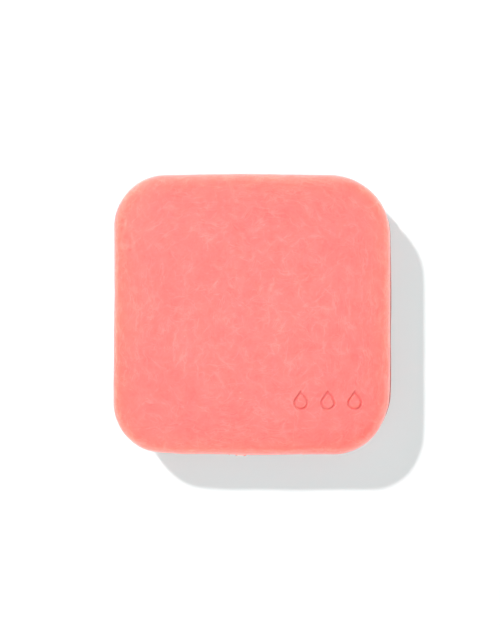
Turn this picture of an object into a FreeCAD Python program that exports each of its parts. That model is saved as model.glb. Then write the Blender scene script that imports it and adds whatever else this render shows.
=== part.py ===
import FreeCAD, Part
import math
import os

from FreeCAD import Vector

# Square shampoo bar, pressed as one solid block between the two halves of a die.
# Millimetres. The origin is the middle of the flat resting face; +Z is up, +X runs
# across the width and +Y from the front side to the back side.
#
# Seen from above, the bar is four wide side arcs joined by four tighter corner arcs,
# all tangent. Every level of the bar is that same outline moved inwards by some inset,
# so its arcs keep their centres and only lose the inset from their radii.

# Driving dimensions
WIDTH = 60.0                # along X, at the parting line
DEPTH = 60.6                # along Y, at the parting line
LOWER_HALF = 9.4            # depth of the lower cavity: resting face to parting line
UPPER_HALF = 9.6            # depth of the upper cavity: parting line to top face
CORNER_RADIUS = 12.2        # upright corners, at the parting line
SIDE_ARC_RADIUS = 1000.0    # the barely bowed sides, at the parting line
DRAFT_DEG = 1.5             # lean of the side walls, away from the parting line
TOP_SHOULDER_RADIUS = 3.2   # rounding from the side wall to the top face
FOOT_RADIUS = 3.4           # rounding from the side wall to the resting face

# A shoulder's edges are found by the level that they lie at
LEVEL_TOLERANCE = 1e-6

NODE = "shampoo_bar"


def side_arc_centres():
    """Centres of the arcs of the +X side and the +Y side: each arc passes through the
    middle of its side, so its centre lies on that axis, one arc radius further back."""
    x_side = Vector(WIDTH / 2 - SIDE_ARC_RADIUS, 0, 0)
    y_side = Vector(0, DEPTH / 2 - SIDE_ARC_RADIUS, 0)
    return x_side, y_side


def corner_centre():
    """Centre of the corner arc between +X and +Y. A corner that is tangent inside both
    side arcs has its centre one radius difference away from both of their centres, so it
    is where two equal circles about those centres meet, on the +X +Y side."""
    x_side, y_side = side_arc_centres()
    reach = SIDE_ARC_RADIUS - CORNER_RADIUS
    between = y_side - x_side
    middle = (x_side + y_side) * 0.5
    height = math.sqrt(reach ** 2 - (between.Length / 2) ** 2)
    outwards = Vector(-between.y, between.x, 0).normalize()
    if outwards.x < 0:
        outwards = -outwards
    return middle + outwards * height


def quarter_points(inset):
    """The outline's points in the +X +Y quarter, from the middle of the +X side to the
    middle of the +Y side: side middle, tangent point, corner middle, tangent point,
    side middle."""
    x_side, y_side = side_arc_centres()
    corner = corner_centre()
    side_radius = SIDE_ARC_RADIUS - inset
    to_x_tangent = (corner - x_side).normalize()
    to_y_tangent = (corner - y_side).normalize()
    to_corner_middle = (to_x_tangent + to_y_tangent).normalize()
    return [
        Vector(WIDTH / 2 - inset, 0, 0),
        x_side + to_x_tangent * side_radius,
        corner + to_corner_middle * (CORNER_RADIUS - inset),
        y_side + to_y_tangent * side_radius,
        Vector(0, DEPTH / 2 - inset, 0),
    ]


def mirrored(point, x_sign, y_sign):
    return Vector(point.x * x_sign, point.y * y_sign, 0)


def outline(inset, level):
    """Closed wire of the bar's outline, moved inwards by the inset, at a height: each
    corner arc is followed by the side arc that leads to the next corner."""
    x_middle, x_tangent, corner_middle, y_tangent, y_middle = quarter_points(inset)
    edges = []
    for x_sign, y_sign in ((1, 1), (-1, 1), (-1, -1), (1, -1)):
        on_x_side = mirrored(x_tangent, x_sign, y_sign)
        on_y_side = mirrored(y_tangent, x_sign, y_sign)
        middle = mirrored(corner_middle, x_sign, y_sign)
        edges.append(Part.Arc(on_x_side, middle, on_y_side).toShape())
    for sign in (1, -1):
        x_ends = [mirrored(x_tangent, sign, end) for end in (1, -1)]
        y_ends = [mirrored(y_tangent, end, sign) for end in (1, -1)]
        edges.append(Part.Arc(x_ends[0], x_middle * sign, x_ends[1]).toShape())
        edges.append(Part.Arc(y_ends[0], y_middle * sign, y_ends[1]).toShape())
    wire = Part.Wire(Part.__sortEdges__(edges))
    wire.translate(Vector(0, 0, level))
    return wire


def cavity_block(face_level, cavity_depth):
    """One half of the bar as its cavity forms it: from the full outline at the parting
    line, the walls lean inwards by the draft until they reach the face."""
    inset = cavity_depth * math.tan(math.radians(DRAFT_DEG))
    walls = [outline(0, LOWER_HALF), outline(inset, face_level)]
    return Part.makeLoft(walls, True, True)


def edges_at(solid, level):
    return [
        edge
        for edge in solid.Edges
        if abs(edge.BoundBox.ZMin - level) < LEVEL_TOLERANCE
        and abs(edge.BoundBox.ZMax - level) < LEVEL_TOLERANCE
    ]


def shampoo_bar():
    """Both halves joined at the parting line, with the rims of both faces rounded."""
    top_level = LOWER_HALF + UPPER_HALF
    lower = cavity_block(0, LOWER_HALF)
    upper = cavity_block(top_level, UPPER_HALF)
    block = lower.fuse(upper)
    block = block.makeFillet(TOP_SHOULDER_RADIUS, edges_at(block, top_level))
    return block.makeFillet(FOOT_RADIUS, edges_at(block, 0))


def main():
    os.makedirs("parts", exist_ok=True)
    bar = shampoo_bar()
    bar.exportStep(os.path.join("parts", NODE + ".step"))
    print(NODE, "volume %.1f mm3" % bar.Volume, "solids", len(bar.Solids), "valid", bar.isValid())


main()
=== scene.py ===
import math

import bpy
import numpy as np
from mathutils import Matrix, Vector


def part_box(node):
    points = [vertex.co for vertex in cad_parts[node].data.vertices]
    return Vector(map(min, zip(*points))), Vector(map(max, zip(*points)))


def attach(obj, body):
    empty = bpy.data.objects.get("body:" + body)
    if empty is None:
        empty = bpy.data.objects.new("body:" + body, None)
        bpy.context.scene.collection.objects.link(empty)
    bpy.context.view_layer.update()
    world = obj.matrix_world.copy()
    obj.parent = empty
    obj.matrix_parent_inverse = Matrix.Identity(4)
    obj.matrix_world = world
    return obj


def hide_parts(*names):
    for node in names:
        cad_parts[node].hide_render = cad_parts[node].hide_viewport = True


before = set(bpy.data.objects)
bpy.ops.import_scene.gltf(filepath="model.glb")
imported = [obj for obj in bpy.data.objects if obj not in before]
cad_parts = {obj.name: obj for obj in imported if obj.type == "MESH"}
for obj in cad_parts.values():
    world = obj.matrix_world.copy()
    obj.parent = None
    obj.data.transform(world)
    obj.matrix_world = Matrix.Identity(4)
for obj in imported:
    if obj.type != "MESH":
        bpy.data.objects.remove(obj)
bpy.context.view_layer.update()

# A square bar of solid shampoo, pressed in one piece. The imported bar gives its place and
# size; this script gives it the uneven outline, the soft shoulders, the parting line, the
# finely fibrous skin and the small sunk mark of the real thing. Shapes are worked out in
# millimetres and written to the meshes in metres.

MM = 0.001
TINY = 1e-9                         # keeps a division away from 0
NODE = "shampoo_bar"

LOW, HIGH = (np.array(corner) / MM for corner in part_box(NODE))
HALF_WIDTH, HALF_DEPTH = (HIGH - LOW)[:2] / 2
HEIGHT = HIGH[2] - LOW[2]
PARTING_SHARE = 0.495
PARTING = HEIGHT * PARTING_SHARE    # the widest line, where the die's two halves met

# Corners counter-clockwise from the back right one: radius, and how far the side that
# follows it bows outwards in its middle
CORNER_RADII = (13.2, 11.4, 11.35, 12.5)
SIDE_BOWS = (0.24, -0.18, 0.13, 0.08)
# How far the ends of the right, back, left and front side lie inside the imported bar's box
SIDE_SETBACK = (0.15, 0.15, 0.1, 0.15)
ARC_STEPS = 200                     # outline points on each corner, and on each side

# Small flats rubbed on the rim: bearing from the middle and half width, both in degrees,
# and depth
RUBBED_FLATS = (
    (30, 8, 0.12), (152, 13, 0.28), (171, 9, 0.12), (237, 5, 0.34),
    (257, 9, 0.12), (322, 7, 0.36), (352, 8, 0.12),
)

# The shoulder over the top face and the foot under the bar: how far each reaches in, and
# how full its curve is, counter-clockwise from the right side by eighths of a turn
SHOULDER_REACH = (3.7, 4.1, 5.6, 5.4, 2.75, 4.0, 4.3, 4.0)
SHOULDER_FULLNESS = (4.0, 5.2, 4.8, 4.7, 4.8, 5.2, 4.7, 4.0)
FOOT_REACH = (3.8, 4.0) * 4
FOOT_FULLNESS = (3.5,) * 8

# The parting line: the lower half stands a little over from the upper one, and a ragged
# lip of pressed-out paste is left between them, mostly along the front
DIE_STEP = np.array([0.49, 0.03])
# Heights over the parting line, from the lip's top side down to the ledge
LIP_TOP, LIP_EDGE, LIP_UNDER, LIP_ROOT, LEDGE = 0.09, 0.03, -0.04, -0.05, -0.13
SHADED_BAND_WIDTH = 0.12                   # of the band on the wall below the ledge that takes painted shade
LIP_REACH = 0.6
LIP_STRETCH = (268.0, 30.0)         # bearing of its middle and half its length, in degrees
LIP_ELSEWHERE = 0.12                # share of its reach that is left outside the stretch
# The lip's patches, and the groups they come in: wavelength and random seed of a waviness,
# and the values of it where the lip starts and where it is full
LIP_PATCHES = (2.0, 83, -0.1, 0.3)
LIP_GROUPS = (8.0, 22, -0.3, 0.2)

# A flat rubbed on the wall of the front left corner: bearing and half width in degrees,
# height, half height and depth. It comes in between two distances from the middle, which
# keeps it off the faces.
WALL_FLAT = (225.0, 19.0, 8.0, 5.0, 1.15)
WALL_DISTANCES = (24.0, 34.0)

# Torn spots on the shoulder: middle, half width, half length and depth
TORN_SPOTS = (
    (-27.6, 19.4, 0.8, 1.8, 0.45),
    (-25.8, 15.2, 0.8, 1.5, 0.45),
    (27.8, -9.0, 0.7, 1.4, 0.2),
)
TORN_STRETCH = (1, 0.4, 0.6)        # makes what is ragged about them longest along the side
TORN_PITS = (1.1, 31)               # wavelength and random seed
# Their tint, pale paste and dark painted shade: wavelength and random seed
TORN_TINT_AND_SHADE = (0.9, 32)
TORN_PALENESS = 0.25                # added to their tint, so that more of it is pale
TORN_BOTTOM = PARTING + 2           # their tint stays above this

# The skin's waviness: height, wavelength and random seed of each part. It fades out at
# the resting face and at the parting line, over these distances from them.
WAVES = ((0.05, 17.0, 3), (0.018, 5.0, 4), (0.007, 2.2, 5))
REST_FADE = (0.0, 0.3)
PARTING_FADE = (0.1, 0.6)

# Masks for the colour. The shoulder's tint comes in between two insets from the outline,
# and fades with a longer one. The painted sheen on the rim, a paleness that stands in for
# the light that the rim catches and lets through, and how far in it spreads, are given by
# eighths of a turn, as above.
SHOULDER_TINT = (0.1, 1.2)
SHOULDER_FADE = 2.4
SHOULDER_PEAK = 0.62                # what the fade leaves of it at its strongest
PAINTED_SHEEN = (1.2, 0.5, 0.1, 0.5, 0.0, 1.0, 0.35, 0.9)
PAINTED_SHEEN_SPREAD = (0.4, 0.9, 0.4, 0.35, 0.4, 0.7, 0.9, 0.45)
PAINTED_SHEEN_RISE = (HEIGHT - 5.2, HEIGHT - 3.4)    # heights where it starts and is full
PAINTED_SHEEN_PATCHES = (0.35, 2.6, 71)      # amount, wavelength and random seed
PAINTED_SHEEN_FLATNESS = (1, 1, 1.6)         # makes the patches wider than they are high
# Painted shade in the band under the ledge: faint, and dark where walls face away from the key
LEDGE_SHADE_SIDE = (0.0, 0.6)              # how far to the right a wall faces, from faint to dark
LEDGE_SHADE_FAINT = 0.4
# Painted shade and light of the key light's falloff over the bar: darker towards the front
# right and the front, away from the key, and paler towards the left. Each gives the way it
# grows, how far from the middle it starts and is full, and its amount
PAINTED_FALLOFF_WAYS = (
    ((math.sqrt(0.5), -math.sqrt(0.5)), 15.0, 38.0, 1.0),
    ((0.0, -1.0), 20.0, 27.0, 0.5),
    ((-1.0, 0.0), 14.0, 28.0, -0.6),
)
RING_SLACK = 0.005                  # for picking rings of the mesh by height

# The grain: how it wanders everywhere, and how it tangles where it lies loose, each as a
# turn in radians, wavelength and random seed
GRAIN_WANDER = (0.25, 21.0, 11)
GRAIN_TANGLE = (1.7, 8.0, 12)
WANDER_STRETCH = (1, 1, 0.3)
LOOSE_INSIDE = (0.1, 0.65)          # shares of the way from the rim to the middle
LOOSE_CORNER = (0.5, 0.9)           # shares of the way from a side's middle to a corner
LOOSE_CORNER_AMOUNT = 0.6
LOOSE_LOSS = 0.5                    # how much of its order the loosest grain loses
STEEPEST = 0.2                      # below this cosine the fibres run level along a wall

# The mesh: columns and rows of each face, and rings down each half's side, which are
# spaced for a section of this fullness
COLUMNS, ROWS = 190, 150
UPPER_RINGS, LOWER_RINGS = 28, 14
TYPICAL_FULLNESS = 4.0
PATCH_INSET = 5.0                   # where the faces' grids end and the rings begin
MARK_CROWDING = 4.0                 # how much closer the grid's lines lie at the mark
CROWDING_BLEND = 0.03               # share of a side over which they spread out again
MARK_MARGIN = np.array([0.6, 0.5])  # around the mark, still with close lines

# The sunk mark: a row of three plain drops
MARK_CENTRE = np.array([16.2, -18.3])
DROP_COUNT = 3
DROP_PITCH = 5.75
DROP_RADIUS = 1.35                  # of the groove's middle line
DROP_HEIGHT = 4.2                   # over all
GROOVE_WIDTH = 0.52
GROOVE_DEPTH = 0.42
GROOVE_WALL = 0.14                  # over which each of its sides slopes


def eased(low, high, value):
    """Smooth step from 0 at low to 1 at high: 3t^2 - 2t^3."""
    t = np.clip((value - low) / (high - low), 0, 1)
    return t * t * (3 - 2 * t)


def undulation(points, wavelength, seed, waves=28, spread=(0.7, 1.5)):
    """Smooth random waviness, about -1 to 1: the sum of sine waves of nearly one
    wavelength, each with its own random direction and phase."""
    rng = np.random.default_rng(seed)
    direction = rng.normal(size=(waves, 3))
    direction /= np.linalg.norm(direction, axis=1)[:, None]
    turns = 2 * math.pi / (wavelength * rng.uniform(*spread, waves))
    phase = rng.uniform(0, 2 * math.pi, waves)
    total = np.zeros(len(points))
    for k in range(waves):
        total += np.sin(points @ direction[k] * turns[k] + phase[k])
    return total * math.sqrt(2 / waves) / 2


def bell_round(points, bearing, half_width, power=2):
    """A bell in bearing from the middle: e to the minus (a / half width)^power, a being
    the turn in degrees from the bell's own bearing, the short way round."""
    at = np.degrees(np.arctan2(points[:, 1], points[:, 0]))
    away = (at - bearing + 180) % 360 - 180
    return np.exp(-(away / half_width) ** power)


# ---------------------------------------------------------------- the outline

def outline_curve():
    """The widest outline as a closed run of points, counter-clockwise from the middle of
    the front right corner. Each corner is an arc, centre plus radius times (cos, sin);
    each side runs straight between two arcs and bows out by bow times sin squared. Then
    each rubbed flat draws the points in by its depth times a bell in bearing."""
    half = np.array([HALF_WIDTH, HALF_DEPTH])
    signs = np.array([(1, 1), (-1, 1), (-1, -1), (1, -1)])
    radii = np.array(CORNER_RADII)
    right, back, left, front = SIDE_SETBACK
    insets = np.array([(right, back), (left, back), (left, front), (right, front)])
    centres = signs * (half - insets - radii[:, None])
    points = []
    for k in range(4):
        angle = np.linspace(k, k + 1, ARC_STEPS, endpoint=False) * math.pi / 2
        arc = centres[k] + radii[k] * np.stack([np.cos(angle), np.sin(angle)], 1)
        following = (k + 1) % 4
        turn = (k + 1) * math.pi / 2
        outwards = np.array([math.cos(turn), math.sin(turn)])
        start = centres[k] + radii[k] * outwards
        end = centres[following] + radii[following] * outwards
        share = np.linspace(0, 1, ARC_STEPS, endpoint=False)[:, None]
        side = start + (end - start) * share
        side = side + outwards * SIDE_BOWS[k] * np.sin(math.pi * share) ** 2
        points += [arc, side]
    points = np.vstack(points)
    for bearing, half_width, depth in RUBBED_FLATS:
        inwards = depth * bell_round(points, bearing, half_width)
        points *= 1 - (inwards / np.linalg.norm(points, axis=1))[:, None]
    # start in the middle of the front right corner: half of the last arc from the end
    return np.roll(points, ARC_STEPS + ARC_STEPS // 2, axis=0)


def outline_normals(points):
    """Outward normals of a closed counter-clockwise curve: its tangent turned right."""
    tangent = np.roll(points, -1, 0) - np.roll(points, 1, 0)
    tangent /= np.linalg.norm(tangent, axis=1)[:, None]
    return np.stack([tangent[:, 1], -tangent[:, 0]], 1)


OUTLINE = outline_curve()
OUTLINE_NORMALS = outline_normals(OUTLINE)


def inset_and_normal(xy, chunk=2000):
    """For each point, how far the nearest outline point is, and the normal there."""
    index = np.empty(len(xy), int)
    for start in range(0, len(xy), chunk):
        gap = ((xy[start:start + chunk, None] - OUTLINE) ** 2).sum(2)
        index[start:start + chunk] = gap.argmin(1)
    return np.linalg.norm(xy - OUTLINE[index], axis=1), OUTLINE_NORMALS[index]


# ---------------------------------------------------------------- the section

def at_level(xy, level):
    """Points over a run of plane points, all at one height."""
    return np.column_stack([xy, np.full(len(xy), level)])


def by_eighths(normals, values):
    """Values given at the eighths of a turn, counter-clockwise from the right, with a
    cosine step between neighbours by the outward normal's bearing."""
    eighths = np.arctan2(normals[:, 1], normals[:, 0]) / (math.pi / 4) % 8
    low = np.floor(eighths).astype(int) % 8
    share = (1 - np.cos(math.pi * (eighths - np.floor(eighths)))) / 2
    values = np.array(values)
    return values[low] * (1 - share) + values[(low + 1) % 8] * share


def section_rise(inset, reach, fullness):
    """Height of the section above the parting line, as a share of the half height: a
    superellipse, (1 - X^n)^(1/n), where X falls from 1 at the outline to 0 at the
    shoulder's inner end."""
    across = np.clip(1 - inset / reach, 0, 1)
    return np.clip(1 - across ** fullness, 0, 1) ** (1 / fullness)


def section_insets(count, reach, half_height, samples=4000):
    """Insets that space count rings evenly along a typical section, by its running length
    from PATCH_INSET outwards to the parting line, without that last one."""
    angle = np.linspace(0, math.pi / 2, samples)
    across = np.cos(angle) ** (2 / TYPICAL_FULLNESS)
    inset = reach * (1 - across)
    rise = half_height * section_rise(inset, reach, TYPICAL_FULLNESS)
    keep = inset <= PATCH_INSET
    inset, rise = inset[keep][::-1], rise[keep][::-1]
    length = np.concatenate([[0], np.cumsum(np.hypot(np.diff(inset), np.diff(rise)))])
    return np.interp(np.linspace(0, length[-1], count + 1)[:-1], length, inset)


def upper_height(inset, normals):
    """Height of the upper half's skin at an inset from the widest outline: from the lip's
    top side up to the face, by the section's rise."""
    reach, fullness = by_eighths(normals, SHOULDER_REACH), by_eighths(normals, SHOULDER_FULLNESS)
    base = PARTING + LIP_TOP
    return base + (HEIGHT - base) * section_rise(inset, reach, fullness)


def lower_height(inset, normals):
    """Height of the lower half's skin at an inset from the widest outline: from the ledge
    down to the resting face, by the section's rise."""
    reach, fullness = by_eighths(normals, FOOT_REACH), by_eighths(normals, FOOT_FULLNESS)
    return (PARTING + LEDGE) * (1 - section_rise(inset, reach, fullness))


def lip_reach(xy):
    """How far the lip stands out: patches where a waviness is high, in groups where a
    longer one is, along the lip's stretch of the rim and faintly elsewhere."""
    share = LIP_ELSEWHERE + (1 - LIP_ELSEWHERE) * bell_round(xy, *LIP_STRETCH, power=4)
    flat = at_level(xy, 0.0)
    for wavelength, seed, start, full in (LIP_PATCHES, LIP_GROUPS):
        share = share * eased(start, full, undulation(flat, wavelength, seed))
    return LIP_REACH * share


# ---------------------------------------------------------------- the mesh grid

def packed_shares(count, start, end, samples=2001):
    """Shares from 0 to 1 of count steps that lie closer together between start and end:
    the inverse of the running sum of a density, 1 outside and MARK_CROWDING inside."""
    share = np.linspace(0, 1, samples)
    inside = eased(start - CROWDING_BLEND, start, share)
    inside = inside * (1 - eased(end, end + CROWDING_BLEND, share))
    density = 1 + (MARK_CROWDING - 1) * inside
    running = np.concatenate([[0], np.cumsum((density[1:] + density[:-1]) / 2)])
    return np.interp(np.linspace(0, running[-1], count + 1), running, share)


FACE_HALF = np.array([HALF_WIDTH, HALF_DEPTH]) - PATCH_INSET
ROW_HALF = (DROP_COUNT - 1) * DROP_PITCH / 2 + DROP_RADIUS
MARK_HALF = np.array([ROW_HALF, DROP_HEIGHT / 2]) + MARK_MARGIN
MARK_START = (MARK_CENTRE - MARK_HALF) / FACE_HALF / 2 + 0.5
MARK_END = (MARK_CENTRE + MARK_HALF) / FACE_HALF / 2 + 0.5
COLUMN_SHARES = packed_shares(COLUMNS, MARK_START[0], MARK_END[0])
ROW_SHARES = packed_shares(ROWS, MARK_START[1], MARK_END[1])


def side_run(start, end, axis, shares, ring):
    """Outline indices of one side's grid points, spaced so that their places along the
    axis, on the inset ring, follow the shares."""
    stretch = np.arange(start, end + 1)
    place = ring[stretch % len(OUTLINE), axis]
    wanted = place[0] + shares * (place[-1] - place[0])
    if place[-1] < place[0]:
        return np.interp(-wanted, -place, stretch.astype(float))
    return np.interp(wanted, place, stretch.astype(float))


def at_index(values, index):
    """Values of a closed run at fractional indices, by straight interpolation."""
    low = np.floor(index).astype(int)
    share = (index - low)[:, None]
    count = len(values)
    return values[low % count] * (1 - share) + values[(low + 1) % count] * share


def face_patch(front, right, back, left):
    """A face's grid between its four border curves: the two ruled surfaces added, less the
    bilinear one through the corners. Front and back run to the right, left and right run
    to the back."""
    u = COLUMN_SHARES[None, :, None]
    v = ROW_SHARES[:, None, None]
    ruled = (1 - v) * front[None] + v * back[None] + (1 - u) * left[:, None] + u * right[:, None]
    corners = (
        (1 - u) * (1 - v) * front[0] + u * (1 - v) * front[-1]
        + (1 - u) * v * back[0] + u * v * back[-1]
    )
    return ruled - corners


def side_rings(base, normal):
    """Rings of points from the top face's grid down to the bottom face's: the upper
    half's section, the lip, the ledge with the band under it that takes painted shade, and
    the lower half's."""
    upper_insets = section_insets(UPPER_RINGS, max(SHOULDER_REACH), HEIGHT - PARTING)[1:]
    lower_insets = section_insets(LOWER_RINGS, max(FOOT_REACH), PARTING)[:0:-1]
    tip = base + lip_reach(base)[:, None] * normal
    stepped = base + DIE_STEP
    rings = [
        np.column_stack([base - normal * inset, upper_height(inset, normal)])
        for inset in upper_insets
    ]
    rings += [
        at_level(base, PARTING + LIP_TOP),
        at_level(tip, PARTING + LIP_EDGE),
        at_level(tip, PARTING + LIP_UNDER),
        at_level(base, PARTING + LIP_ROOT),
        at_level(stepped, PARTING + LEDGE),
        at_level(stepped, PARTING + LEDGE - SHADED_BAND_WIDTH),
    ]
    rings += [
        np.column_stack([stepped - normal * inset, lower_height(inset, normal)])
        for inset in lower_insets
    ]
    return rings


def bar_mesh():
    """The whole skin, points and quads: a grid over the top face, rings down the sides
    and a grid under the bottom face, all sharing their border points."""
    ring = OUTLINE - OUTLINE_NORMALS * PATCH_INSET
    steps = len(OUTLINE)
    quarter = steps // 4
    right = side_run(0, quarter, 1, ROW_SHARES, ring)
    back = side_run(quarter, 2 * quarter, 0, 1 - COLUMN_SHARES[::-1], ring)
    left = side_run(2 * quarter, 3 * quarter, 1, 1 - ROW_SHARES[::-1], ring)
    front = side_run(3 * quarter, steps, 0, COLUMN_SHARES, ring)
    loop = np.concatenate([right[:-1], back[:-1], left[:-1], front[:-1]])
    normal = at_index(OUTLINE_NORMALS, loop)
    normal /= np.linalg.norm(normal, axis=1)[:, None]
    rings = side_rings(at_index(OUTLINE, loop), normal)

    inner = [at_index(ring, part) for part in (front, right, back, left)]
    patch = face_patch(inner[0], inner[1], inner[2][::-1], inner[3][::-1])
    rows, columns = patch.shape[:2]
    xy = patch.reshape(-1, 2)
    inset, normals = inset_and_normal(xy)
    top = np.column_stack([xy, upper_height(inset, normals)])
    bottom = np.column_stack([xy + DIE_STEP, lower_height(inset, normals)])
    points = np.vstack([top] + rings + [bottom])

    # border indices of the top and bottom grids, in the loop's order
    grid = np.arange(rows * columns).reshape(rows, columns)
    border = np.concatenate([grid[:-1, -1], grid[-1, :0:-1], grid[:0:-1, 0], grid[0, :-1]])
    count = len(loop)
    first_ring = rows * columns
    bottom_start = first_ring + len(rings) * count
    ladders = [border]
    ladders += [first_ring + k * count + np.arange(count) for k in range(len(rings))]
    ladders.append(bottom_start + border)
    a, b = grid[:-1, :-1].ravel(), grid[:-1, 1:].ravel()
    c, d = grid[1:, 1:].ravel(), grid[1:, :-1].ravel()
    quads = [np.stack([a, b, c, d], 1), np.stack([d, c, b, a], 1) + bottom_start]
    for over, under in zip(ladders[:-1], ladders[1:]):
        quads.append(np.stack([over, under, np.roll(under, -1), np.roll(over, -1)], 1))
    return points, np.vstack(quads)


def vertex_normals(points, quads):
    """Normals of the points: the sum of the cross products of their faces' diagonals."""
    a, b, c, d = (points[quads[:, corner]] for corner in range(4))
    face = np.cross(c - a, d - b)
    total = np.zeros_like(points)
    for corner in range(4):
        for axis in range(3):
            total[:, axis] += np.bincount(quads[:, corner], face[:, axis], len(points))
    return total / np.linalg.norm(total, axis=1)[:, None]


# ---------------------------------------------------------------- relief

def drop_distance(x, y):
    """Signed distance to a drop: a circle about the origin, and the two lines from its
    tip that touch the circle. Beyond a touching point the line is the nearer."""
    tip = DROP_HEIGHT - DROP_RADIUS - GROOVE_WIDTH
    lean = DROP_RADIUS / tip
    normal = (math.sqrt(1 - lean ** 2), lean)
    x = np.abs(x)
    along = -normal[1] * x + normal[0] * y
    line_end = tip * normal[0]
    circle = np.hypot(x, y) - DROP_RADIUS
    line = normal[0] * x + normal[1] * y - DROP_RADIUS
    point = np.hypot(x, y - tip)
    return np.where(along < 0, circle, np.where(along > line_end, point, line))


def mark_depth(xy):
    """Depth of the sunk mark, a groove along each drop's outline: the groove's depth times
    1 less a smooth step of the distance from the outline, over the groove's wall."""
    nearest = np.full(len(xy), np.inf)
    low = MARK_CENTRE[1] - DROP_HEIGHT / 2 + DROP_RADIUS + GROOVE_WIDTH / 2
    for k in range(DROP_COUNT):
        middle = MARK_CENTRE[0] + (k - (DROP_COUNT - 1) / 2) * DROP_PITCH
        gap = np.abs(drop_distance(xy[:, 0] - middle, xy[:, 1] - low))
        nearest = np.minimum(nearest, gap)
    half = GROOVE_WIDTH / 2
    return GROOVE_DEPTH * (1 - eased(half - GROOVE_WALL / 2, half + GROOVE_WALL / 2, nearest))


def torn_depth(points):
    """How deep the torn spots may go: each is its depth times e to the minus (a^2 + b^2),
    a and b being the distances from its middle over its half width and half length."""
    total = np.zeros(len(points))
    for x, y, half_width, half_length, depth in TORN_SPOTS:
        spread = ((points[:, 0] - x) / half_width) ** 2 + ((points[:, 1] - y) / half_length) ** 2
        total += depth * np.exp(-spread)
    return total


def skin_relief(points):
    """How far the skin stands out from the true form: slow waviness, finer lumps and the
    torn spots. The resting face and the parting line stay true."""
    waves = sum(
        height * undulation(points, wavelength, seed) for height, wavelength, seed in WAVES
    )
    pits = np.maximum(undulation(points * TORN_STRETCH, *TORN_PITS), 0)
    relief = waves - torn_depth(points) * pits
    from_parting = np.abs(points[:, 2] - PARTING)
    return relief * eased(*REST_FADE, points[:, 2]) * eased(*PARTING_FADE, from_parting)


def rub_wall(points):
    """Presses the wall's flat in towards the middle, by its depth times a bell in bearing
    times a bell in height."""
    bearing, half_width, height, half_height, depth = WALL_FLAT
    radius = np.linalg.norm(points[:, :2], axis=1)
    inwards = depth * bell_round(points, bearing, half_width) * eased(*WALL_DISTANCES, radius)
    inwards *= np.exp(-((points[:, 2] - height) / half_height) ** 2)
    rubbed = points.copy()
    rubbed[:, :2] *= (1 - inwards / np.maximum(radius, TINY))[:, None]
    return rubbed


# ---------------------------------------------------------------- masks and grain

def painted_sheen_mask(points, inset, normals):
    """Painted sheen on the rim, standing in for the light that it catches and lets through:
    its paleness times e to the minus inset over spread, in patches, and only near the top."""
    amount, wavelength, seed = PAINTED_SHEEN_PATCHES
    painted_rim_sheen = by_eighths(normals, PAINTED_SHEEN) * np.exp(-inset / by_eighths(normals, PAINTED_SHEEN_SPREAD))
    painted_rim_sheen *= 1 + amount * undulation(points * PAINTED_SHEEN_FLATNESS, wavelength, seed)
    return painted_rim_sheen * eased(*PAINTED_SHEEN_RISE, points[:, 2])


def torn_tint_and_shade_mask(points):
    """The torn spots' tint, pale above 0 and dark below it: the pale part is the paste's own,
    the dark part painted shade that stands in for the shade in their pits.
    """
    tint = undulation(points * TORN_STRETCH, *TORN_TINT_AND_SHADE) + TORN_PALENESS
    return torn_depth(points) * tint * (points[:, 2] > TORN_BOTTOM)


def colour_masks(points):
    """Masks that the paste's colour follows, by attribute name: the tinted shoulder, painted
    shade in a band under the ledge, darkest where the wall faces away from the key light, the
    pale lip, a painted sheen on the rim near the top, the torn spots' pale tint and painted
    shade, and painted shade and light of the key light's falloff over the bar."""
    inset, normals = inset_and_normal(points[:, :2])
    rise = points[:, 2] - PARTING
    in_ledge_shade = (rise > LEDGE - SHADED_BAND_WIDTH / 2) & (rise < LIP_UNDER - RING_SLACK)
    on_lip = (rise > LIP_UNDER - RING_SLACK) & (rise < LIP_EDGE + RING_SLACK)
    facing = LEDGE_SHADE_FAINT + (1 - LEDGE_SHADE_FAINT) * eased(*LEDGE_SHADE_SIDE, normals[:, 0])
    painted_falloff = sum(
        amount * eased(start, full, points[:, :2] @ way)
        for way, start, full, amount in PAINTED_FALLOFF_WAYS
    )
    return {
        "shoulder": eased(*SHOULDER_TINT, inset) * np.exp(-inset / SHOULDER_FADE) / SHOULDER_PEAK,
        "painted_ledge_shade": in_ledge_shade * facing,
        "lip": on_lip * lip_reach(points[:, :2]) / LIP_REACH,
        "painted_rim_sheen": painted_sheen_mask(points, inset, normals),
        "torn_tint_and_shade": torn_tint_and_shade_mask(points),
        "painted_falloff": painted_falloff,
    }


def grain_directions(points, normals):
    """The way the fibres lie at each point, a vector whose squared length tells how well
    they agree: along the nearest side near the rim, and any way further in and at the
    corners. The side's way is the level line of |x|^4 + |y|^4. One waviness turns it
    everywhere and another where it lies loose, and its part along the skin is kept."""
    x, y = points[:, 0] / HALF_WIDTH, points[:, 1] / HALF_DEPTH
    nearer, further = np.minimum(np.abs(x), np.abs(y)), np.maximum(np.abs(x), np.abs(y))
    side = np.arctan2(np.sign(y) * np.abs(y) ** 3, np.sign(x) * np.abs(x) ** 3) + math.pi / 2
    at_corner = LOOSE_CORNER_AMOUNT * eased(*LOOSE_CORNER, nearer / np.maximum(further, TINY))
    loose = np.maximum(eased(*LOOSE_INSIDE, 1 - further), at_corner)
    turn, wavelength, seed = GRAIN_WANDER
    angle = side + turn * undulation(points * WANDER_STRETCH, wavelength, seed)
    turn, wavelength, seed = GRAIN_TANGLE
    angle += turn * loose * undulation(points, wavelength, seed)
    flat = np.stack([np.cos(angle), np.sin(angle), np.zeros(len(x))], 1)
    along = flat - normals * (flat * normals).sum(1)[:, None]
    length = np.linalg.norm(along, axis=1)
    level = np.cross(normals, (0, 0, 1.0))
    along = np.where(length[:, None] > STEEPEST, along, level)
    along /= np.maximum(np.linalg.norm(along, axis=1), TINY)[:, None]
    return along * np.sqrt(1 - LOOSE_LOSS * loose)[:, None]


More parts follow.
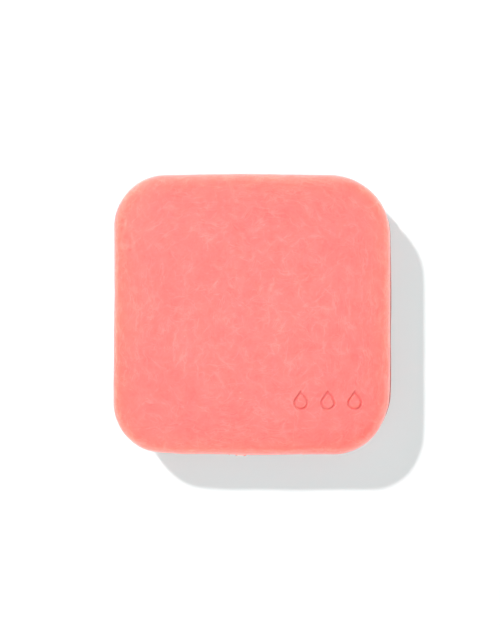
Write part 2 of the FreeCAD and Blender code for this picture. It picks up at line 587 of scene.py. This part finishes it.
def build_bar():
    """The bar's skin with its relief and sunk mark, its grain and its masks."""
    points, quads = bar_mesh()
    points = rub_wall(points)
    normals = vertex_normals(points, quads)
    placed = points + normals * skin_relief(points)[:, None]
    top_count = (ROWS + 1) * (COLUMNS + 1)
    placed[:top_count, 2] -= mark_depth(points[:top_count, :2])
    placed[:, 2] = np.maximum(placed[:, 2], 0)      # nothing goes below the resting plane
    mesh = bpy.data.meshes.new("pressed_bar")
    mesh.from_pydata((placed * MM).tolist(), [], quads.tolist())
    mesh.polygons.foreach_set("use_smooth", np.ones(len(quads), bool))
    grain = grain_directions(points, normals)
    attribute = mesh.attributes.new("grain", "FLOAT_VECTOR", "POINT")
    attribute.data.foreach_set("vector", grain.astype(np.float32).ravel())
    for name, mask in colour_masks(points).items():
        attribute = mesh.attributes.new(name, "FLOAT", "POINT")
        attribute.data.foreach_set("value", mask.astype(np.float32))
    mesh.update()
    bar = bpy.data.objects.new("pressed_bar", mesh)
    bpy.context.collection.objects.link(bar)
    print("bar skin: %d points, %d quads" % (len(points), len(quads)))
    return bar


# ---------------------------------------------------------------- shader helpers

def put(tree, kind, inputs=None, **settings):
    """A new node with its settings, and its inputs either set or linked."""
    node = tree.nodes.new("ShaderNode" + kind)
    for name, value in settings.items():
        setattr(node, name, value)
    for name, value in (inputs or {}).items():
        if isinstance(value, bpy.types.NodeSocket):
            tree.links.new(value, node.inputs[name])
        else:
            node.inputs[name].default_value = value
    return node


def maths(tree, operation, *values):
    """The result of a Math node."""
    return put(tree, "Math", dict(enumerate(values)), operation=operation).outputs[0]


def vectors(tree, operation, *values):
    """The vector that a Vector Math node gives."""
    return put(tree, "VectorMath", dict(enumerate(values)), operation=operation).outputs[0]


def dot(tree, first, second):
    """The dot product of two vectors."""
    return put(tree, "VectorMath", {0: first, 1: second}, operation="DOT_PRODUCT").outputs["Value"]


def ramp(tree, value, low, high, to_low=0.0, to_high=1.0, curve="SMOOTHSTEP"):
    """A smooth step, or another curve, from one value at low to another at high."""
    limits = {"From Min": low, "From Max": high, "To Min": to_low, "To Max": to_high}
    inputs = {"Value": value, **limits}
    return put(tree, "MapRange", inputs, interpolation_type=curve).outputs[0]


def mixed(tree, share, first, second, blend="MIX"):
    """A colour mixed from two by a share. The colour sockets are found by number, because
    a Mix node has others of the same names for its other kinds of data."""
    inputs = {0: share, 6: first, 7: second}
    return put(tree, "Mix", inputs, data_type="RGBA", blend_type=blend).outputs[2]


def noise(tree, place, scale, detail):
    """A Noise Texture's two outputs: its value and its colour."""
    return put(tree, "TexNoise", {"Vector": place, "Scale": scale, "Detail": detail}).outputs


def centred(tree, value):
    """Noise about 0 instead of one half."""
    return maths(tree, "SUBTRACT", value, 0.5)


def new_group(name, inputs, outputs):
    """An empty shader group with these sockets; gives it and its two end nodes."""
    group = bpy.data.node_groups.new(name, "ShaderNodeTree")
    for label, kind in inputs:
        group.interface.new_socket(label, in_out="INPUT", socket_type=kind)
    for label, kind in outputs:
        group.interface.new_socket(label, in_out="OUTPUT", socket_type=kind)
    return group, group.nodes.new("NodeGroupInput"), group.nodes.new("NodeGroupOutput")


def new_material(name):
    """A material with nodes, its tree and its Principled shader."""
    material = bpy.data.materials.new(name)
    material.use_nodes = True
    return material, material.node_tree, material.node_tree.nodes["Principled BSDF"]


# ---------------------------------------------------------------- washing paste

# Threads, each kind by the scale of its noise, the half width of its lines in that noise's
# own value, and a shift that makes its noise its own. Another noise breaks them off: they
# are gone below its first limit and whole above its second, and fewer where they lie
# across the grain. Scales are per millimetre.
THREADS = ((0.42, 0.019, 13.0), (0.75, 0.032, 31.0), (1.3, 0.055, 62.0))
THREAD_DETAIL = 1.0
BREAK_SCALE = 0.8
BREAK_LIMITS = (0.36, 0.60)
THREAD_RARITY = 0.2
STREAK_SCALE, STREAK_DETAIL = 1.8, 1.5
THREAD_STRETCH = 5.0                # length over width
THREAD_WAYS = 4
WAY_SHIFT = (17.0, 0.0, 5.0)        # from one way's noise to the next
LOOSE_THREADS = 0.44                # share of the threads that loose grain lays any way
BEND_SCALE, BEND_DETAIL = 0.19, 2.0     # the swirls that bend the threads
BEND_REACH = 3.2

# Flecks, in the cells of a pattern whose own random number is high enough
FLECK_SCALE = 0.42
FLECK_RADIUS = (0.03, 0.14)         # whole inside the first, gone outside the second
FLECK_PICK = (0.84, 0.96)

# Clouds and grit: scale, detail and amount
CLOUDS = ((0.13, 2.0, 1.0), (0.36, 3.0, 1.9))
GRIT = (1.9, 1.5, 0.95)
THREAD_AMOUNT, STREAK_AMOUNT, FLECK_AMOUNT = 1.3, 1.7, 1.6
LOOSE_CONTRAST = 1.25               # of all this, where the grain has no order
ORDERLY_CHANGE = -0.4               # by which it changes where the order is full

# The tone: 0 is the deep colour of the paste and 1 its pale one. Each part adds its own
# value times its amount to the base; the painted rim sheen's mask is added whole. The
# falloff's part is painted shade and light, and the torn spots' dark part painted shade.
TONE_BASE = 0.28
PALENESS_TONE, CLOUD_TONE, PAINTED_FALLOFF_TONE, TORN_TINT_AND_SHADE_TONE = 0.29, 0.22, -0.10, 1.8
DEEP_PASTE = (0.985, 0.180, 0.174, 1)
PALE_PASTE = (0.985, 0.370, 0.330, 1)
LIP_COLOUR = (1.0, 0.90, 0.87, 1)
SHOULDER_TINT_COLOUR = (1.0, 0.995, 0.865, 1)       # this and the next multiply the paste's
PAINTED_LEDGE_SHADE_COLOUR = (0.40, 0.34, 0.36, 1)
BUMP_HEIGHT = 0.03 * MM
PASTE_ROUGHNESS = 0.3
SCATTER_RADIUS = (1.0, 0.45, 0.3)
SCATTER_SCALE = 0.8 * MM


def threads_group():
    """Thin broken threads: the middle level lines of smooth noises, kept only where
    another noise is high, and the rarer the smaller their share; and a fine streakiness
    of the same stretch."""
    group, given, result = new_group(
        "threads", [("Place", "NodeSocketVector"), ("Share", "NodeSocketFloat")],
        [("Threads", "NodeSocketFloat"), ("Streaks", "NodeSocketFloat")])
    place = given.outputs["Place"]
    kept = noise(group, place, BREAK_SCALE, THREAD_DETAIL)[0]
    rarer = maths(group, "MULTIPLY_ADD", given.outputs["Share"], THREAD_RARITY, -THREAD_RARITY)
    kept = ramp(group, maths(group, "ADD", kept, rarer), *BREAK_LIMITS)
    lines = []
    for scale, half_width, shift in THREADS:
        moved = vectors(group, "ADD", place, (shift, shift, shift))
        from_middle = centred(group, noise(group, moved, scale, THREAD_DETAIL)[0])
        lines.append(ramp(group, maths(group, "ABSOLUTE", from_middle), 0.0, half_width, 1.0, 0.0))
    threads = maths(group, "MAXIMUM", maths(group, "MAXIMUM", lines[0], lines[1]), lines[2])
    group.links.new(maths(group, "MULTIPLY", threads, kept), result.inputs["Threads"])
    streaks = noise(group, place, STREAK_SCALE, STREAK_DETAIL)[0]
    group.links.new(streaks, result.inputs["Streaks"])
    return group


def laid_threads(group, place, grain, order):
    """The strongest thread and the sum of the streaks of all the ways that threads are
    laid. The ways are half a right angle apart, and each shows by the square of cos 2a
    where cos 2a is above 0, a being its angle from the fibres."""
    threads = threads_group()
    x, y, _ = put(group, "SeparateXYZ", {0: grain}).outputs
    anyway = maths(group, "MULTIPLY", maths(group, "SUBTRACT", 1.0, order), LOOSE_THREADS)
    across = maths(group, "MULTIPLY", y, y)
    straight = maths(group, "SUBTRACT", maths(group, "MULTIPLY", x, x), across)
    slanting = maths(group, "MULTIPLY", maths(group, "MULTIPLY", x, y), 2.0)
    strongest, streaks = 0.0, 0.0
    for way in range(THREAD_WAYS):
        lie = slanting if way % 2 else straight
        sign = -1.0 if way > 1 else 1.0
        share = maths(group, "MAXIMUM", maths(group, "MULTIPLY", lie, sign), 0.0)
        share = maths(group, "MULTIPLY_ADD", share, share, anyway)
        laid = put(group, "Mapping", {
            "Vector": place,
            "Location": tuple(shift * way for shift in WAY_SHIFT),
            "Rotation": (0, 0, way * math.pi / THREAD_WAYS),
            "Scale": (THREAD_STRETCH, 1, 1),
        }, vector_type="TEXTURE").outputs[0]
        node = put(group, "Group", {"Place": laid, "Share": share}, node_tree=threads)
        strongest = maths(group, "MAXIMUM", strongest, node.outputs["Threads"])
        streaks = maths(group, "MULTIPLY_ADD", node.outputs["Streaks"], share, streaks)
    return strongest, streaks


def flecks(group, place):
    """Small pale spots at the middles of some cells of a Voronoi pattern, picked by the
    cell's own random number."""
    cell = put(group, "TexVoronoi", {"Vector": place, "Scale": FLECK_SCALE, "Randomness": 1.0})
    pick = put(group, "SeparateXYZ", {0: cell.outputs["Color"]}).outputs[0]
    spot = ramp(group, cell.outputs["Distance"], *FLECK_RADIUS, 1.0, 0.0)
    return maths(group, "MULTIPLY", spot, ramp(group, pick, *FLECK_PICK))


def paste_group():
    """The finely fibrous face of pressed paste, from places in millimetres and the way
    the fibres lie: how pale it is, by the sum of its threads, streaks, flecks and grit, and
    the slow clouds in it."""
    group, given, result = new_group(
        "fibrous_paste", [("Place", "NodeSocketVector"), ("Grain", "NodeSocketVector")],
        [("Paleness", "NodeSocketFloat"), ("Cloud", "NodeSocketFloat")])
    place, grain = given.outputs["Place"], given.outputs["Grain"]
    bend = noise(group, place, BEND_SCALE, BEND_DETAIL)[1]
    bend = vectors(group, "SUBTRACT", bend, (0.5, 0.5, 0.5))
    bent = vectors(group, "MULTIPLY_ADD", bend, (BEND_REACH, BEND_REACH, BEND_REACH), place)

    def layer(where, scale, detail, amount):
        """A noise about 0, times its amount."""
        value = centred(group, noise(group, where, scale, detail)[0])
        return maths(group, "MULTIPLY", value, amount)

    order = dot(group, grain, grain)
    threads, streaks = laid_threads(group, bent, grain, order)
    pale = layer(place, *GRIT)
    for part, amount in (
        (threads, THREAD_AMOUNT),
        (centred(group, streaks), STREAK_AMOUNT),
        (flecks(group, place), FLECK_AMOUNT),
    ):
        pale = maths(group, "MULTIPLY_ADD", part, amount, pale)
    contrast = maths(group, "MULTIPLY_ADD", order, ORDERLY_CHANGE, LOOSE_CONTRAST)
    clouds = maths(group, "ADD", *(layer(bent, *cloud) for cloud in CLOUDS))
    group.links.new(maths(group, "MULTIPLY", pale, contrast), result.inputs["Paleness"])
    group.links.new(clouds, result.inputs["Cloud"])
    return group


def paste_material():
    """Pressed washing paste: a tone between its deep and its pale colour, raised by a painted
    sheen on the rim, darker to the front right and paler to the left by painted shade and
    light, tinted at the shoulder and the lip and darkened by painted shade under the ledge,
    with a faint bump and light scattered under its skin."""
    material, tree, shader = new_material("washing_paste")
    place = put(tree, "TexCoord").outputs["Object"]
    place = put(tree, "VectorMath", {0: place, "Scale": 1 / MM}, operation="SCALE").outputs[0]
    grain = put(tree, "Attribute", attribute_name="grain").outputs["Vector"]
    paste = put(tree, "Group", {"Place": place, "Grain": grain}, node_tree=paste_group()).outputs

    def mask(name):
        """One of the masks that the mesh carries."""
        return put(tree, "Attribute", attribute_name=name).outputs["Fac"]

    # The painted rim sheen is added whole to the tone.
    tone = maths(tree, "ADD", mask("painted_rim_sheen"), TONE_BASE)
    # Painted shade and light of the key's falloff, and the torn spots' pale tint and painted shade
    for part, amount in (
        (paste["Paleness"], PALENESS_TONE), (paste["Cloud"], CLOUD_TONE),
        (mask("painted_falloff"), PAINTED_FALLOFF_TONE), (mask("torn_tint_and_shade"), TORN_TINT_AND_SHADE_TONE),
    ):
        tone = maths(tree, "MULTIPLY_ADD", part, amount, tone)
    colour = mixed(tree, tone, DEEP_PASTE, PALE_PASTE)
    colour = mixed(tree, mask("shoulder"), colour, SHOULDER_TINT_COLOUR, "MULTIPLY")
    colour = mixed(tree, mask("lip"), colour, LIP_COLOUR)
    # Painted shade in the band under the ledge, darkest on walls facing away from the key light
    colour = mixed(tree, mask("painted_ledge_shade"), colour, PAINTED_LEDGE_SHADE_COLOUR, "MULTIPLY")
    raised = {"Height": paste["Paleness"], "Distance": BUMP_HEIGHT, "Strength": 1.0}
    bump = put(tree, "Bump", raised)
    tree.links.new(colour, shader.inputs["Base Color"])
    tree.links.new(bump.outputs["Normal"], shader.inputs["Normal"])
    shader.inputs["Roughness"].default_value = PASTE_ROUGHNESS
    shader.inputs["Subsurface Weight"].default_value = 1.0
    shader.inputs["Subsurface Radius"].default_value = SCATTER_RADIUS
    shader.inputs["Subsurface Scale"].default_value = SCATTER_SCALE
    return material


# ---------------------------------------------------------------- the table

TABLE_SIZE = 4.0
TABLE_GAP = 0.05 * MM               # keeps the table's face clear of the resting face
TABLE_WHITE = 0.76

# The white that the table adds of its own, by distance from the middle in millimetres:
# close to the bar it makes up for the red that the bar throws on it. Under the bar, inside
# a patch that follows its rounded square, |x|^5 + |y|^5, it leaves the foot's own shade.
LIFT_NEAR = (0.020, 0.262, 0.268, 1)
LIFT_FAR = (0.088, 0.164, 0.165, 1)
LIFT_RANGE = (31.0, 51.0)
LIFT_UNDER = (0.09, 0.08, 0.08, 1)
UNDER_RANGE = (27.5, 31.0)          # half widths of the patch, where it ends
BAR_SQUARENESS = 5.0


def table_material():
    """White paper, dull all over. Seen directly or in a reflection, a part of its white is
    its own, so that it shows clean white in the light and a neutral grey in the shadow."""
    material, tree, shader = new_material("white_table")
    shader.inputs["Base Color"].default_value = (TABLE_WHITE, TABLE_WHITE, TABLE_WHITE, 1)
    shader.inputs["Roughness"].default_value = 1.0
    shader.inputs["Specular IOR Level"].default_value = 0.0
    path = put(tree, "LightPath").outputs
    seen = maths(tree, "MAXIMUM", path["Is Camera Ray"], path["Is Glossy Ray"])
    seen = maths(tree, "MAXIMUM", seen, path["Is Transmission Ray"])
    place = put(tree, "TexCoord").outputs["Object"]
    away = put(tree, "VectorMath", {0: place}, operation="LENGTH").outputs["Value"]
    share = ramp(tree, away, *(MM * limit for limit in LIFT_RANGE), curve="LINEAR")
    sides = put(tree, "SeparateXYZ", {0: place}).outputs
    powers = [
        maths(tree, "POWER", maths(tree, "ABSOLUTE", side), BAR_SQUARENESS) for side in sides[:2]
    ]
    square = maths(tree, "POWER", maths(tree, "ADD", *powers), 1 / BAR_SQUARENESS)
    clear = ramp(tree, square, *(MM * limit for limit in UNDER_RANGE))
    lift = mixed(tree, clear, LIFT_UNDER, mixed(tree, share, LIFT_NEAR, LIFT_FAR))
    tree.links.new(lift, shader.inputs["Emission Color"])
    tree.links.new(seen, shader.inputs["Emission Strength"])
    return material


def build_table():
    """One large square, just under the resting face."""
    half = TABLE_SIZE / 2
    corners = [(-half, -half), (half, -half), (half, half), (-half, half)]
    mesh = bpy.data.meshes.new("table")
    mesh.from_pydata([(x, y, -TABLE_GAP) for x, y in corners], [], [(0, 1, 2, 3)])
    table = bpy.data.objects.new("table", mesh)
    bpy.context.collection.objects.link(table)
    table.data.materials.append(table_material())


# ---------------------------------------------------------------- light and camera

KEY_STRENGTH = 1.75
KEY_SPREAD = math.radians(2.4)
KEY_LEAN = math.radians(36.85)      # from straight overhead
KEY_HEADING = math.radians(134.3)   # where it comes from, counter-clockwise from the right
SOFTBOX_PLACE = (-0.16, 0.17, 0.20)
SOFTBOX_SIZE = 0.12
SOFTBOX_POWER = 0.2
HORIZON_LIGHT = 3.0
ZENITH_LIGHT = 0.49
ZENITH_START = 0.6                  # sine of the height from which the sky is all zenith
FILL_WAY = (0.25, -0.25, 0.0)       # towards the sky's brighter side, away from the key

CAMERA_HEIGHT = 0.42                # over the parting line
CAMERA_PLACE = (-0.00043, 0.00046)  # its small offset to the right and to the back
FRAME_HEIGHT = 0.1363               # what the view takes in at the parting line
SENSOR_WIDTH = 36.0


def build_lamp(name, kind, **settings):
    """A lamp that lights things but doesn't show in reflections."""
    data = bpy.data.lights.new(name, kind)
    for setting, value in settings.items():
        setattr(data, setting, value)
    lamp = bpy.data.objects.new(name, data)
    lamp.visible_glossy = False
    bpy.context.collection.objects.link(lamp)
    return lamp


def build_lights():
    """A far key light from the back left, and a weak softbox that softens its shade."""
    key = build_lamp("key", "SUN", energy=KEY_STRENGTH, angle=KEY_SPREAD)
    key.rotation_euler = (KEY_LEAN, 0, KEY_HEADING + math.pi / 2)
    softbox = build_lamp("softbox", "AREA", shape="DISK", size=SOFTBOX_SIZE, energy=SOFTBOX_POWER)
    softbox.location = SOFTBOX_PLACE
    softbox.rotation_euler = Vector(SOFTBOX_PLACE).to_track_quat("Z", "Y").to_euler()


def build_world():
    """White all round, brighter towards the horizon than overhead, and brighter on the
    side away from the key light than on its own."""
    world = bpy.data.worlds.new("studio")
    world.use_nodes = True
    tree = world.node_tree
    background = tree.nodes["Background"]
    way = put(tree, "TexCoord").outputs["Generated"]
    horizon = maths(tree, "ADD", dot(tree, way, FILL_WAY), 1.0)
    horizon = maths(tree, "MULTIPLY", horizon, HORIZON_LIGHT)
    rise = put(tree, "SeparateXYZ", {0: way}).outputs["Z"]
    strength = ramp(tree, rise, 0.0, ZENITH_START, horizon, ZENITH_LIGHT)
    tree.links.new(strength, background.inputs["Strength"])
    background.inputs["Color"].default_value = (1, 1, 1, 1)
    bpy.context.scene.world = world


def build_camera():
    """Looks straight down. The lens shows FRAME_HEIGHT along the long side of the frame,
    which is the side that the sensor's width is fitted to."""
    camera = bpy.data.cameras.new("camera")
    camera.sensor_width = SENSOR_WIDTH
    camera.lens = SENSOR_WIDTH * CAMERA_HEIGHT / FRAME_HEIGHT
    holder = bpy.data.objects.new("camera", camera)
    holder.location = (*CAMERA_PLACE, PARTING * MM + CAMERA_HEIGHT)
    bpy.context.collection.objects.link(holder)
    bpy.context.scene.camera = holder


def main():
    """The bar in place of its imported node, then what is around it."""
    bar = build_bar()
    bar.data.materials.append(paste_material())
    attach(bar, "root")
    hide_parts(NODE)
    build_table()
    build_lights()
    build_world()
    build_camera()
    bpy.context.scene.view_settings.view_transform = "Standard"


main()
